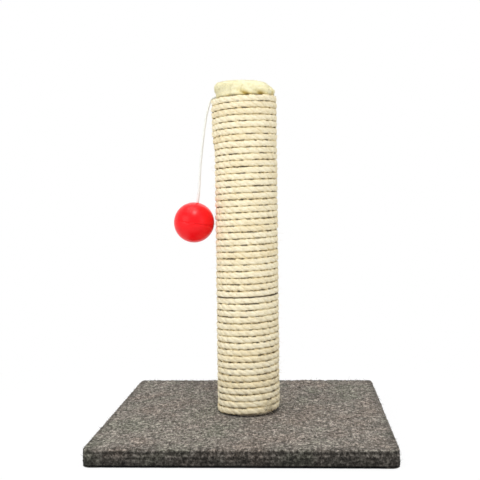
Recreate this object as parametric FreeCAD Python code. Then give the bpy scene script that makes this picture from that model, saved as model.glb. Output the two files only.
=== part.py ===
import FreeCAD, Part
import math
import os
from FreeCAD import Vector

# Cat scratching post, millimetres. The origin is on the floor under the middle of the base.
# +Z is up, the front faces -Y, and the ball hangs on the -X side.

# Base: a board wrapped in carpet, standing on the carpet's corner folds
BASE_SIDE = 300.0
BASE_CORNER_R = 8.0
BOARD_T = 12.0
CARPET_T = 2.2
CARPET_TOP_R = 2.6
CARPET_LOW_R = 1.2
WRAP_FIT = 0.05
HEM_W = 28.0
TUCK_T = 1.0
TUCK_EDGE = 15.0
TUCK_DEPTH = 24.0
TUCK_INSET = 0.6

# Staples under the hem
HEM_STAPLES_A_SIDE = 5
HEM_STAPLE_STEP = 52.0
HEM_STAPLE_INSET = 17.0
STAPLE_WIRE = 0.6
HEM_CROWN = 10.0
HEM_LEG = 8.0

# Bolt, washer and tee nut that hold the post
BOLT_D = 6.0
BOLT_LEN = 35.0
HEAD_AF = 10.0
HEAD_H = 4.0
WASHER_D = 18.0
WASHER_T = 1.6
BOLT_HOLE_CLEAR = 0.4
THREAD_FIT = 0.05
SINK_CLEAR = 1.0
SINK_SPARE = 0.3
NUT_FLANGE_D = 19.0
NUT_FLANGE_T = 1.2
NUT_BARREL_D = 7.8
NUT_BARREL_L = 9.0
NUT_PRONGS = 4
NUT_PRONG = (1.2, 2.4, 6.0)

# Post: a cardboard tube with a plug in each end, as high as its winding
POST_H = 350.0
TUBE_R = 27.7
TUBE_WALL = 3.0
PLUG_FIT = 0.05
PLUG_LOW_T = 18.0
PLUG_SPIGOT = 20.0
PLUG_HEAD_T = 14.0
PIN_D = 1.6
PIN_LEN = 14.0
PINS_ROUND = 4
PIN_SINK = 0.1

# Rope: three lengths wound one above the other
ROPE_D = 6.6
TURN_GAP = 0.44
ROPE_SEAT = 0.2
ROPE_FLOOR = 0.1
TURNS_LOW = 18
ROPE_START = 0.15
JOIN_GAP = 2.0
JOIN_ANGLE = 90.0
ROPE_END_COVER = 1.0
ROPE_STAPLE_CROWN = 7.0
ROPE_STAPLE_LEG = 10.2
ROPE_STAPLE_BACK = 12.0

# String: its tail lies under the top turns, and its free length carries the ball
STRING_D = 3.0
TAIL_SEAT = 0.1
TAIL_TURNS = 5
EASE_TURNS = 2
OVER_CLEAR = 0.3
OVER_ANGLE = 65.0
PIVOT_R = 1.4
PIVOT_GAP = 0.3
TAIL_RISE = 1.5
STRING_STAPLE_H = 14.0

# Points of the free string between its pivot and its straight end: X and Z, from the pivot
STRING_BENDS = ((-4.2, -12.6), (-7.9, -34.1), (-12.6, -73.1))
STRING_STRAIGHT = 10.0

# Plush cap over wadding on the top plug
PLUSH_T = 2.2
CAP_BULGE_R = 30.8
CAP_BULGE_H = 5.6
CAP_CROWN_R = 23.0
CAP_CROWN_DROP = 0.9
CAP_RISE = 16.0
CAP_FOOT_H = 1.0
CREASE_ANGLES = (-93.0, -51.0)
CREASE_R = 3.0
CREASE_DEPTH = 1.3
PLUSH_STAPLES = 6
PLUSH_CROWN = 8.0
PLUSH_LEG = 8.0
PLUSH_STAPLE_H = 5.0

# Ball: two shells joined at a stepped seam, hung on a knot
BALL_R = 22.5
BALL_WALL = 1.5
BALL_GAP = 1.9
BALL_DROP = 135.9
BALL_TILT = 10.0
BALL_HOLE_CLEAR = 0.6
SEAM_STEP = 1.6
SEAM_LIP_T = 0.7
SEAM_FIT = 0.05
KNOT_R = 3.2
KNOT_GAP = 0.3

# Heights worked out from the sizes above
HEM_Z = TUCK_T
BOARD_Z = HEM_Z + CARPET_T
BOARD_TOP = BOARD_Z + BOARD_T
BASE_TOP = BOARD_TOP + CARPET_T
PITCH = ROPE_D + TURN_GAP
ROPE_R = TUBE_R + ROPE_SEAT + ROPE_D / 2
ROPE_Z = BASE_TOP + ROPE_FLOOR + ROPE_D / 2
TURNS = int(POST_H / PITCH)
TURNS_MIDDLE = (TURNS - TURNS_LOW) // 2
BULGE = STRING_D + 2 * TAIL_SEAT
ROPE_END_Z = ROPE_Z + (TURNS - ROPE_START) * PITCH
HEAD_TOP = ROPE_END_Z + ROPE_END_COVER
HEAD_Z = HEAD_TOP - PLUG_HEAD_T
TUBE_TOP = HEAD_Z
TUBE_IN_R = TUBE_R - TUBE_WALL
UP = Vector(0, 0, 1)


def polar(radius, degrees, z):
    angle = math.radians(degrees)
    return Vector(radius * math.cos(angle), radius * math.sin(angle), z)


def rounded_plate(side, corner_r, z, height):
    half = side / 2
    plate = Part.makeBox(side, side, height, Vector(-half, -half, z))
    uprights = [e for e in plate.Edges if abs(e.tangentAt(e.FirstParameter).z) > 0.9]
    return plate.makeFillet(corner_r, uprights)


def edges_at(shape, z):
    """The edges of a shape that lie level at one height."""
    near = 1e-6
    return [e for e in shape.Edges if abs(e.BoundBox.ZMin - z) < near and abs(e.BoundBox.ZMax - z) < near]


def cylinder(radius, z, height, x=0.0, y=0.0):
    return Part.makeCylinder(radius, height, Vector(x, y, z))


# ---- base -------------------------------------------------------------------------------------

BOLT_HOLE_R = BOLT_D / 2 + BOLT_HOLE_CLEAR
SINK_R = WASHER_D / 2 + SINK_CLEAR
SINK_DEPTH = HEAD_H + WASHER_T + SINK_SPARE
SINK_TOP = BOARD_Z + SINK_DEPTH
WASHER_Z = SINK_TOP - WASHER_T
BOARD_SIDE = BASE_SIDE - 2 * CARPET_T - 2 * WRAP_FIT
BOARD_CORNER_R = BASE_CORNER_R - CARPET_T - WRAP_FIT


def base_board():
    board = rounded_plate(BOARD_SIDE, BOARD_CORNER_R, BOARD_Z, BOARD_T)
    sink = cylinder(SINK_R, BOARD_Z, SINK_DEPTH)
    return board.cut(sink).cut(cylinder(BOLT_HOLE_R, BOARD_Z, BOARD_T))


def base_carpet():
    outer = rounded_plate(BASE_SIDE, BASE_CORNER_R, HEM_Z, BASE_TOP - HEM_Z)
    outer = outer.makeFillet(CARPET_TOP_R, edges_at(outer, BASE_TOP))
    outer = outer.makeFillet(CARPET_LOW_R, edges_at(outer, HEM_Z))
    inner_side = BOARD_SIDE + 2 * WRAP_FIT
    inner = rounded_plate(inner_side, BOARD_CORNER_R + WRAP_FIT, BOARD_Z, BOARD_T)
    window_side = BASE_SIDE - 2 * HEM_W
    window_corner = Vector(-window_side / 2, -window_side / 2, HEM_Z)
    window = Part.makeBox(window_side, window_side, CARPET_T, window_corner)
    return outer.cut(inner).cut(window).cut(cylinder(BOLT_HOLE_R, BOARD_TOP, CARPET_T))


def corner_tuck(turns):
    """One doubled fold of carpet under a corner, cut across the corner."""
    far = BASE_SIDE / 2 - TUCK_INSET
    radius = BASE_CORNER_R - TUCK_INSET
    near = far - TUCK_EDGE
    deep = far - TUCK_DEPTH / math.sqrt(2)
    arc_mid = far - radius + radius / math.sqrt(2)
    arc_start = Vector(far - radius, far, 0)
    arc_end = Vector(far, far - radius, 0)
    outline = Part.Wire([
        Part.makeLine(Vector(near, far, 0), arc_start),
        Part.Arc(arc_start, Vector(arc_mid, arc_mid, 0), arc_end).toShape(),
        Part.makeLine(arc_end, Vector(far, near, 0)),
        Part.makeLine(Vector(far, near, 0), Vector(deep, deep, 0)),
        Part.makeLine(Vector(deep, deep, 0), Vector(near, far, 0)),
    ])
    tuck = Part.Face(outline).extrude(UP * TUCK_T)
    tuck.rotate(Vector(), UP, 90 * turns)
    return tuck


def corner_tucks():
    return Part.makeCompound([corner_tuck(turns) for turns in range(4)])


def staple(crown, leg, place, along, inward):
    """A wire staple: its crown lies along one direction, and its legs point inward."""
    side = along.cross(inward)
    half = STAPLE_WIRE / 2
    corners = (
        (-crown / 2, 0.0), (crown / 2, 0.0), (crown / 2, leg), (crown / 2 - STAPLE_WIRE, leg),
        (crown / 2 - STAPLE_WIRE, STAPLE_WIRE), (STAPLE_WIRE - crown / 2, STAPLE_WIRE),
        (STAPLE_WIRE - crown / 2, leg), (-crown / 2, leg),
    )
    points = [place + along * a + inward * b - side * half for a, b in corners]
    return Part.Face(Part.makePolygon(points + points[:1])).extrude(side * STAPLE_WIRE)


def hem_staples():
    row = BASE_SIDE / 2 - HEM_STAPLE_INSET
    first = -(HEM_STAPLES_A_SIDE - 1) / 2 * HEM_STAPLE_STEP
    staples = []
    for turns in range(4):
        for number in range(HEM_STAPLES_A_SIDE):
            place = Vector(first + number * HEM_STAPLE_STEP, -row, HEM_Z - STAPLE_WIRE)
            one = staple(HEM_CROWN, HEM_LEG, place, Vector(1, 0, 0), UP)
            one.rotate(Vector(), UP, 90 * turns)
            staples.append(one)
    return Part.makeCompound(staples)


# ---- bolt -------------------------------------------------------------------------------------

def base_bolt():
    head_r = HEAD_AF / 2 / math.cos(math.radians(30))
    corners = [polar(head_r, 60 * side, WASHER_Z - HEAD_H) for side in range(6)]
    head = Part.Face(Part.makePolygon(corners + corners[:1])).extrude(UP * HEAD_H)
    return head.fuse(cylinder(BOLT_D / 2, WASHER_Z, BOLT_LEN)).removeSplitter()


def bolt_washer():
    return cylinder(WASHER_D / 2, WASHER_Z, WASHER_T).cut(cylinder(BOLT_HOLE_R, WASHER_Z, WASHER_T))


def tee_nut():
    """Flange on top of the bottom plug, barrel and prongs down into it."""
    seat = BASE_TOP + PLUG_LOW_T
    width, across, depth = NUT_PRONG
    prong_corner = Vector(NUT_FLANGE_D / 2 - 2 * width, -across / 2, seat - depth)
    nut = cylinder(NUT_FLANGE_D / 2, seat, NUT_FLANGE_T)
    nut = nut.fuse(cylinder(NUT_BARREL_D / 2, seat - NUT_BARREL_L, NUT_BARREL_L))
    for number in range(NUT_PRONGS):
        prong = Part.makeBox(width, across, depth, prong_corner)
        prong.rotate(Vector(), UP, 360 / NUT_PRONGS * number)
        nut = nut.fuse(prong)
    bore = cylinder(BOLT_D / 2 + THREAD_FIT, seat - NUT_BARREL_L, NUT_BARREL_L + NUT_FLANGE_T)
    return nut.cut(bore).removeSplitter()


# ---- tube and plugs ---------------------------------------------------------------------------

def bottom_plug():
    plug = cylinder(TUBE_IN_R - PLUG_FIT, BASE_TOP, PLUG_LOW_T)
    plug = plug.cut(cylinder(BOLT_HOLE_R, BASE_TOP, PLUG_LOW_T))
    seat = BASE_TOP + PLUG_LOW_T - NUT_BARREL_L
    return plug.cut(cylinder(NUT_BARREL_D / 2 + PLUG_FIT, seat, NUT_BARREL_L))


def post_tube():
    height = TUBE_TOP - BASE_TOP
    return cylinder(TUBE_R, BASE_TOP, height).cut(cylinder(TUBE_IN_R, BASE_TOP, height))


def top_plug():
    spigot = cylinder(TUBE_IN_R - PLUG_FIT, TUBE_TOP - PLUG_SPIGOT, PLUG_SPIGOT)
    head = cylinder(TUBE_R - PLUSH_T - PLUG_FIT, HEAD_Z, PLUG_HEAD_T)
    return spigot.fuse(head).removeSplitter()


def plug_pins():
    """Pins through the tube into each plug, sunk just below the tube's surface."""
    pins = []
    for z in (BASE_TOP + PLUG_LOW_T / 2, TUBE_TOP - PLUG_SPIGOT / 2):
        for number in range(PINS_ROUND):
            angle = 45 + 360 / PINS_ROUND * number
            start = polar(TUBE_R - PIN_SINK, angle, z)
            pins.append(Part.makeCylinder(PIN_D / 2, PIN_LEN, start, polar(-1, angle, 0)))
    return Part.makeCompound(pins)


# ---- rope -------------------------------------------------------------------------------------

def arc_edge(start, corner, end):
    """Arc from start to end whose end tangents meet at corner, as far from both."""
    chord = end - start
    weight = chord.Length / 2 / (corner - start).Length
    middle = (start + corner * (2 * weight) + end) * (1 / (2 + 2 * weight))
    return Part.Arc(start, middle, end).toShape()


def biarc(start, start_way, end, end_way):
    """Two arcs that join two places smoothly, each leaving along its own direction."""
    span = end - start
    ways = start_way + end_way
    spread = 2 * (1 - start_way.dot(end_way))
    reach = (math.sqrt(span.dot(ways) ** 2 + spread * span.dot(span)) - span.dot(ways)) / spread
    first = start + start_way * reach
    last = end - end_way * reach
    middle = (first + last) * 0.5
    return [arc_edge(start, first, middle), arc_edge(middle, last, end)]


def rope_z(turn):
    """Height of the rope's centre, counted in turns from the place of the joins."""
    return ROPE_Z + (turn - ROPE_START) * PITCH


def bulge_at(turn):
    """How far the string under the rope lifts the turn that crosses the -X side there."""
    down = TURNS - 0.75 - turn
    return BULGE * min(1.0, max(0.0, 1 - (down - TAIL_TURNS) / (EASE_TURNS + 1)))


def rope_place(turn):
    """Centre of the rope after so many turns, and its direction there."""
    angle = JOIN_ANGLE + 360 * turn
    radius = ROPE_R
    if abs((turn - 0.25) % 1.0) < 1e-6:
        radius += bulge_at(turn)
    way = polar(1, angle + 90, PITCH / (2 * math.pi * ROPE_R))
    way.normalize()
    return polar(radius, angle, rope_z(turn)), way


def rope_path(first_turn, last_turn):
    """Straight end, quarter-turn biarcs, straight end."""
    end_share = (ROPE_D + JOIN_GAP / 2) / (2 * math.pi * ROPE_R)
    stops = [first_turn + end_share]
    stops += [0.25 * quarter for quarter in range(1, 4 * TURNS) if first_turn < 0.25 * quarter < last_turn]
    stops.append(last_turn - end_share)
    places = [rope_place(turn) for turn in stops]
    edges = [Part.makeLine(places[0][0] - places[0][1] * ROPE_D, places[0][0])]
    for (start, start_way), (end, end_way) in zip(places, places[1:]):
        edges += biarc(start, start_way, end, end_way)
    edges.append(Part.makeLine(places[-1][0], places[-1][0] + places[-1][1] * ROPE_D))
    return edges


def tube_along(edges, radius):
    """A round tube swept along a path of lines and arcs."""
    start = edges[0].valueAt(edges[0].FirstParameter)
    way = edges[0].tangentAt(edges[0].FirstParameter)
    section = Part.Wire([Part.makeCircle(radius, start, way)])
    sweep = Part.BRepOffsetAPI.MakePipeShell(Part.Wire(edges))
    sweep.add(section)
    sweep.build()
    sweep.makeSolid()
    return sweep.shape()


def least_gap(edges, width):
    """Least gap between one turn of a path and the turns beside it, measured on points."""
    steps = 8
    points = []
    for edge in edges:
        points += edge.discretize(steps + 1)[:-1]
    a_turn = 8 * steps
    nearest = math.inf
    for index, point in enumerate(points):
        for other in points[index + a_turn // 2:index + 2 * a_turn]:
            nearest = min(nearest, (point - other).Length)
    return nearest - width


def rope(name, first_turn, last_turn):
    path = rope_path(first_turn, last_turn)
    solid = tube_along(path, ROPE_D / 2)
    length = sum(edge.Length for edge in path)
    share = solid.Volume / (length * math.pi * ROPE_D ** 2 / 4)
    print(f"{name}: length {length:.0f} mm, least gap to itself {least_gap(path, ROPE_D):.3f} mm, "
          f"volume over section times length {share:.5f}")
    return solid


ROPE_ENDS = (ROPE_START, TURNS_LOW, TURNS_LOW + TURNS_MIDDLE, TURNS)


def rope_staples():
    """A staple through each end of each length of rope."""
    back = ROPE_STAPLE_BACK / (2 * math.pi * ROPE_R)
    turns = [turn + back for turn in ROPE_ENDS[:-1]] + [turn - back for turn in ROPE_ENDS[1:]]
    staples = []
    for turn in turns:
        place, way = rope_place(turn)
        inward = Vector(-place.x, -place.y, 0)
        inward.normalize()
        way = polar(1, JOIN_ANGLE + 360 * turn + 90, 0)
        start = place - inward * (ROPE_D / 2 + STAPLE_WIRE)
        staples.append(staple(ROPE_STAPLE_CROWN, ROPE_STAPLE_LEG, start, way, inward))
    return Part.makeCompound(staples)


# ---- string and ball --------------------------------------------------------------------------

TAIL_X = -(TUBE_R + TAIL_SEAT + STRING_D / 2)
OVER_R = ROPE_D / 2 + OVER_CLEAR + STRING_D / 2
OVER_X = TAIL_X - OVER_R
OVER_Z = rope_z(TURNS - 0.75) + TAIL_RISE
TAIL_Z = OVER_Z - TAIL_TURNS * PITCH
BALL_AXIS = Vector(math.sin(math.radians(BALL_TILT)), 0, math.cos(math.radians(BALL_TILT)))


def over_point(degrees):
    """Place on the string's bend over the top turn of rope, from straight up to straight down."""
    angle = math.radians(degrees)
    return Vector(OVER_X - OVER_R * math.sin(angle), 0, OVER_Z + OVER_R * math.cos(angle))


PIVOT = over_point(OVER_ANGLE)
PIVOT_REACH = PIVOT_R + PIVOT_GAP
BALL_CENTRE = Vector(-(ROPE_R + ROPE_D / 2 + BALL_GAP + BALL_R), 0, PIVOT.z - BALL_DROP)


def string_tail():
    """From its low end under the rope, up and over the top turn to just short of the pivot."""
    stop = OVER_ANGLE - math.degrees(PIVOT_REACH / OVER_R)
    rise = Part.makeLine(Vector(TAIL_X, 0, TAIL_Z), Vector(TAIL_X, 0, OVER_Z))
    bend = Part.Arc(over_point(-90), over_point((stop - 90) / 2), over_point(stop)).toShape()
    return tube_along([rise, bend], STRING_D / 2)


def string_bend():
    """The short bit of string that bends as the ball swings."""
    return Part.makeSphere(PIVOT_R, PIVOT)


def string_route():
    points = [PIVOT] + [PIVOT + Vector(x, 0, z) for x, z in STRING_BENDS]
    points.append(BALL_CENTRE + BALL_AXIS * (BALL_R + STRING_STRAIGHT))
    points.append(BALL_CENTRE + BALL_AXIS * (BALL_R - BALL_WALL))
    first_way = points[1] - points[0]
    first_way.normalize()
    points[0] = points[0] + first_way * PIVOT_REACH
    return points


def hang_string():
    """Straight runs joined by the largest arcs that their lengths allow."""
    points = string_route()
    edges = []
    radii = []
    last = points[0]
    for before, corner, after in zip(points, points[1:], points[2:]):
        back = before - corner
        onward = after - corner
        reach = 0.45 * min(back.Length, onward.Length)
        half_turn = (math.pi - back.getAngle(onward)) / 2
        radii.append(reach / math.tan(half_turn))
        back.normalize()
        onward.normalize()
        edges.append(Part.makeLine(last, corner + back * reach))
        edges.append(arc_edge(corner + back * reach, corner, corner + onward * reach))
        last = corner + onward * reach
    edges.append(Part.makeLine(last, points[-1]))
    solid = tube_along(edges, STRING_D / 2)
    length = sum(edge.Length for edge in edges)
    share = solid.Volume / (length * math.pi * STRING_D ** 2 / 4)
    print(f"hang_string: length {length:.1f} mm, radii " + ", ".join(f"{r:.0f}" for r in radii)
          + f", volume over section times length {share:.5f}")
    return solid


def string_staple():
    place = Vector(TAIL_X - STRING_D / 2, 0, TAIL_Z + STRING_STAPLE_H)
    crown = STRING_D + 2 * STAPLE_WIRE
    leg = STRING_D + TUBE_WALL - PLUG_FIT
    return staple(crown, leg, place, Vector(0, 1, 0), Vector(1, 0, 0))


def end_knot():
    place = BALL_CENTRE + BALL_AXIS * (BALL_R - BALL_WALL - KNOT_GAP - KNOT_R)
    return Part.makeSphere(KNOT_R, place)


def tilt_ball(shape):
    shape.rotate(Vector(), Vector(0, 1, 0), BALL_TILT)
    shape.translate(BALL_CENTRE)
    return shape


def half_space(sign):
    """Everything on one side of the ball's seam."""
    size = 4 * BALL_R
    low = 0 if sign > 0 else -size
    return Part.makeBox(size, size, size, Vector(-size / 2, -size / 2, low))


def ball_shell(sign):
    shell = Part.makeSphere(BALL_R).cut(Part.makeSphere(BALL_R - BALL_WALL))
    return shell.common(half_space(sign))


def ball_lower():
    """Lower shell, with a lip that stands up inside the upper one."""
    lip_r = BALL_R - BALL_WALL + SEAM_LIP_T
    in_r = BALL_R - BALL_WALL
    lip = cylinder(lip_r - SEAM_FIT, -SEAM_STEP, 2 * SEAM_STEP - SEAM_FIT)
    lip = lip.cut(cylinder(in_r - SEAM_FIT, -SEAM_STEP, 2 * SEAM_STEP))
    lip = lip.common(Part.makeSphere(BALL_R))
    return tilt_ball(ball_shell(-1).fuse(lip).removeSplitter())


def ball_upper():
    """Upper shell, recessed for the lip, with the string's hole at its pole."""
    lip_r = BALL_R - BALL_WALL + SEAM_LIP_T
    shell = ball_shell(1).cut(cylinder(lip_r, 0, SEAM_STEP))
    hole = cylinder(STRING_D / 2 + BALL_HOLE_CLEAR, 0, 2 * BALL_R)
    return tilt_ball(shell.cut(hole))


# ---- plush cap --------------------------------------------------------------------------------

def dome(inset):
    """Solid under the plush's surface, that much inside it: skirt, bulge and crown."""
    foot_z = HEAD_TOP + CAP_FOOT_H
    bulge_z = HEAD_TOP + CAP_BULGE_H
    crown_z = HEAD_TOP + CAP_RISE - CAP_CROWN_DROP - inset
    top_z = HEAD_TOP + CAP_RISE - inset
    skirt_r = TUBE_R - inset
    bulge_r = CAP_BULGE_R - inset
    crown_r = CAP_CROWN_R - inset / 2
    foot = Vector(skirt_r, 0, foot_z)
    bulge = Vector(bulge_r, 0, bulge_z)
    crown = Vector(crown_r, 0, crown_z)
    top = Vector(0, 0, top_z)
    lean = (bulge_r - skirt_r) * 0.75
    shoulder = Vector(crown_r + (bulge_r - crown_r) * 0.8, 0, bulge_z + (crown_z - bulge_z) * 0.66)
    half_foot = Vector(skirt_r + lean, 0, (foot_z + bulge_z) / 2)
    curve_r = (crown_r ** 2 + CAP_CROWN_DROP ** 2) / (2 * CAP_CROWN_DROP)
    half_crown = Vector(crown_r / 2, 0, top_z - curve_r + math.sqrt(curve_r ** 2 - crown_r ** 2 / 4))
    outline = Part.Wire([
        Part.makeLine(Vector(0, 0, HEAD_Z), Vector(skirt_r, 0, HEAD_Z)),
        Part.makeLine(Vector(skirt_r, 0, HEAD_Z), foot),
        Part.Arc(foot, half_foot, bulge).toShape(),
        Part.Arc(bulge, shoulder, crown).toShape(),
        Part.Arc(crown, half_crown, top).toShape(),
        Part.makeLine(top, Vector(0, 0, HEAD_Z)),
    ])
    return Part.Face(outline).revolve(Vector(), UP, 360)


def crease(degrees):
    """Soft valley up the side of the cap, where the plush is gathered."""
    away = CAP_BULGE_R + CREASE_R - CREASE_DEPTH
    height = CAP_RISE * 0.7
    return Part.makeCylinder(CREASE_R, height, polar(away, degrees, HEAD_TOP + CAP_FOOT_H))


def plush_cap():
    cap = dome(0).cut(dome(PLUSH_T))
    cap = cap.common(cylinder(2 * TUBE_R, HEAD_Z, 2 * CAP_RISE + PLUG_HEAD_T))
    for degrees in CREASE_ANGLES:
        cap = cap.cut(crease(degrees))
    return cap


def top_wadding():
    return dome(PLUSH_T + PLUG_FIT).common(cylinder(2 * TUBE_R, HEAD_TOP, 2 * CAP_RISE))


def plush_staples():
    staples = []
    for number in range(PLUSH_STAPLES):
        angle = 30 + 360 / PLUSH_STAPLES * number
        place = polar(TUBE_R - STAPLE_WIRE, angle, HEAD_Z + PLUSH_STAPLE_H)
        staples.append(staple(PLUSH_CROWN, PLUSH_LEG, place, UP, polar(-1, angle, 0)))
    return Part.makeCompound(staples)


NODES = {
    "base_board": base_board,
    "base_carpet": base_carpet,
    "corner_tucks": corner_tucks,
    "hem_staples": hem_staples,
    "base_bolt": base_bolt,
    "bolt_washer": bolt_washer,
    "tee_nut": tee_nut,
    "bottom_plug": bottom_plug,
    "post_tube": post_tube,
    "top_plug": top_plug,
    "plug_pins": plug_pins,
    "rope_lower": lambda: rope("rope_lower", ROPE_ENDS[0], ROPE_ENDS[1]),
    "rope_middle": lambda: rope("rope_middle", ROPE_ENDS[1], ROPE_ENDS[2]),
    "rope_upper": lambda: rope("rope_upper", ROPE_ENDS[2], ROPE_ENDS[3]),
    "rope_staples": rope_staples,
    "top_wadding": top_wadding,
    "plush_cap": plush_cap,
    "plush_staples": plush_staples,
    "string_tail": string_tail,
    "string_staple": string_staple,
    "string_bend": string_bend,
    "hang_string": hang_string,
    "end_knot": end_knot,
    "ball_upper": ball_upper,
    "ball_lower": ball_lower,
}

os.makedirs("parts", exist_ok=True)
for name, make in NODES.items():
    shape = make()
    assert shape.isValid(), name
    shape.exportStep(f"parts/{name}.step")
    box = shape.BoundBox
    print(f"{name}: {len(shape.Solids)} solids, {shape.Volume:.1f} mm3, x {box.XMin:.1f} {box.XMax:.1f}, "
          f"y {box.YMin:.1f} {box.YMax:.1f}, z {box.ZMin:.2f} {box.ZMax:.2f}")
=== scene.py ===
import math

import bpy
import numpy as np
from mathutils import Matrix, Vector, noise


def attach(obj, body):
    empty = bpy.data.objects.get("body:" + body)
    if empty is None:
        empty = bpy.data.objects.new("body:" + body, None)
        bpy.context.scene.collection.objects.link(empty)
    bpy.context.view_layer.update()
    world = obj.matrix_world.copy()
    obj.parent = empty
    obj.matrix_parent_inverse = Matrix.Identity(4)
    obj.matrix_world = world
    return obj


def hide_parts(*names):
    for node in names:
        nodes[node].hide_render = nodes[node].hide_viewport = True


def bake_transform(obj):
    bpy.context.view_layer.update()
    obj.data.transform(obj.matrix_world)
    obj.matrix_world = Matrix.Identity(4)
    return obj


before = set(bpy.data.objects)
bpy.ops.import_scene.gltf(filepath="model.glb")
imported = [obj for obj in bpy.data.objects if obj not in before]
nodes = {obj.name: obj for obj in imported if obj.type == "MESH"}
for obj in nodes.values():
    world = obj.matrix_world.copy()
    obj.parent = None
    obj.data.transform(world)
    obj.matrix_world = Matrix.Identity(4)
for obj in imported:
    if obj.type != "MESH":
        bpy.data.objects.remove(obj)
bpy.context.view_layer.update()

# Cat scratching post, in metres, in the same frame as the solids.
# The front faces -Y and the ball hangs on the -X side.
scene = bpy.context.scene
draw = np.random.default_rng(20)

# ---------------------------------------------------------------- camera
CAMERA_AT = (0.05705, -0.90473, 0.24888)
CAMERA_PITCH = 0.970
CAMERA_YAW = 2.696
CAMERA_ROLL = -0.664
CAMERA_LENS = 60.98
CAMERA_SHIFT = (-0.0409, -0.05)

camera_data = bpy.data.cameras.new("camera")
camera = bpy.data.objects.new("camera", camera_data)
scene.collection.objects.link(camera)
camera.location = CAMERA_AT
camera.rotation_euler = (
    Matrix.Rotation(math.radians(CAMERA_YAW), 4, "Z")
    @ Matrix.Rotation(math.radians(90 - CAMERA_PITCH), 4, "X")
    @ Matrix.Rotation(math.radians(CAMERA_ROLL), 4, "Z")
).to_euler()
camera_data.lens = CAMERA_LENS
camera_data.sensor_width = 36.0
camera_data.shift_x, camera_data.shift_y = CAMERA_SHIFT
scene.camera = camera
scene.view_settings.view_transform = "Standard"


# ---------------------------------------------------------------- mesh helpers
def new_piece(name, verts, faces, body, replaced=(), smooth=True):
    """Makes a mesh piece. It rides on the body, unless the body is None because it bends between two."""
    mesh = bpy.data.meshes.new(name)
    mesh.from_pydata(np.asarray(verts).tolist(), [], [tuple(f) for f in faces])
    mesh.validate()
    mesh.polygons.foreach_set("use_smooth", [smooth] * len(mesh.polygons))
    mesh.update()
    piece = bpy.data.objects.new(name, mesh)
    scene.collection.objects.link(piece)
    if body:
        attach(piece, body)
    if replaced:
        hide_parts(*replaced)
    return piece


def set_numbers(piece, name, values):
    """Keeps one number or one vector for each vertex, for the material to read."""
    values = np.asarray(values, dtype=np.float32)
    kind = "FLOAT_VECTOR" if values.ndim == 2 else "FLOAT"
    attribute = piece.data.attributes.new(name, kind, "POINT")
    attribute.data.foreach_set("vector" if values.ndim == 2 else "value", values.ravel())


def unit(vectors):
    """Each row at a length of one."""
    return vectors / np.linalg.norm(vectors, axis=1)[:, None]


def flipped(faces):
    """The faces with their other side out."""
    return [face[::-1] for face in faces]


def tube_verts(line, thick, turn, first, second):
    """Rings of points round a line, each in the plane of two directions."""
    ring = np.cos(turn)[None, :, None] * first[:, None, :] + np.sin(turn)[None, :, None] * second[:, None, :]
    return (line[:, None, :] + thick[:, :, None] * ring).reshape(-1, 3)


def ring_faces(rings, sides, closed_along=False):
    """The quads between rings of vertices that follow one another."""
    faces = []
    for i in range(rings if closed_along else rings - 1):
        a, b = i * sides, ((i + 1) % rings) * sides
        for j in range(sides):
            k = (j + 1) % sides
            faces.append((a + j, a + k, b + k, b + j))
    return faces


def spline_points(points):
    """Points read along the smooth line that has these points as its control points."""
    curve = bpy.data.curves.new("route", "CURVE")
    curve.dimensions = "3D"
    curve.resolution_u = 32
    spline = curve.splines.new("NURBS")
    spline.points.add(len(points) - 1)
    for spot, point in zip(spline.points, points):
        spot.co = (*point, 1.0)
    spline.order_u = 3
    spline.use_endpoint_u = True
    holder = bpy.data.objects.new("route", curve)
    scene.collection.objects.link(holder)
    mesh = bpy.data.meshes.new_from_object(holder)
    line = np.array([v.co[:] for v in mesh.vertices])
    bpy.data.objects.remove(holder)
    bpy.data.meshes.remove(mesh)
    bpy.data.curves.remove(curve)
    return line


def even_steps(line, step):
    """The line again, with points an even step apart, and how far along each one is."""
    along = np.concatenate([[0], np.cumsum(np.linalg.norm(np.diff(line, axis=0), axis=1))])
    count = int(round(along[-1] / step)) + 1
    at = np.linspace(0, along[-1], count)
    return np.stack([np.interp(at, along, line[:, i]) for i in range(3)], axis=1), at


def wander(at, waves, seed):
    """A smooth wandering number for each place along a length: waves are pairs of wavelength and height."""
    dice = np.random.default_rng(seed)
    total = np.zeros_like(at)
    for length, height in waves:
        total += height * np.sin(2 * math.pi * (at / length + dice.random()))
    return total


# ---------------------------------------------------------------- the string
STRING_D = 0.0030
STRING_PIVOT = (-0.03902, 0, 0.36308)
TAIL_ROUTE = (
    (-0.0293, 0, 0.32572),
    (-0.0293, 0, 0.3430),
    (-0.0293, 0, 0.3562),
    (-0.0293, 0, 0.36272),
    (-0.03155, 0, 0.36552),
    (-0.03505, 0, 0.36630),
    (-0.03827, 0, 0.36472),
    STRING_PIVOT,
)
HANG_ROUTE = (
    STRING_PIVOT,
    (-0.03956, 0, 0.36147),
    (-0.04322, 0, 0.35048),
    (-0.04692, 0, 0.32898),
    (-0.05162, 0, 0.28998),
    (-0.05326, 0, 0.25919),
    (-0.05525, 0, 0.24786),
    (-0.0556, 0, 0.24614),
)
BRAID_CARRIERS = 4
BRAID_LAY = 0.0052
BRAID_SIDES = 24
BRAID_STEP = 0.00026
BRAID_WAVES = [(0.011, 0.012), (0.0043, 0.01)]


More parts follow.
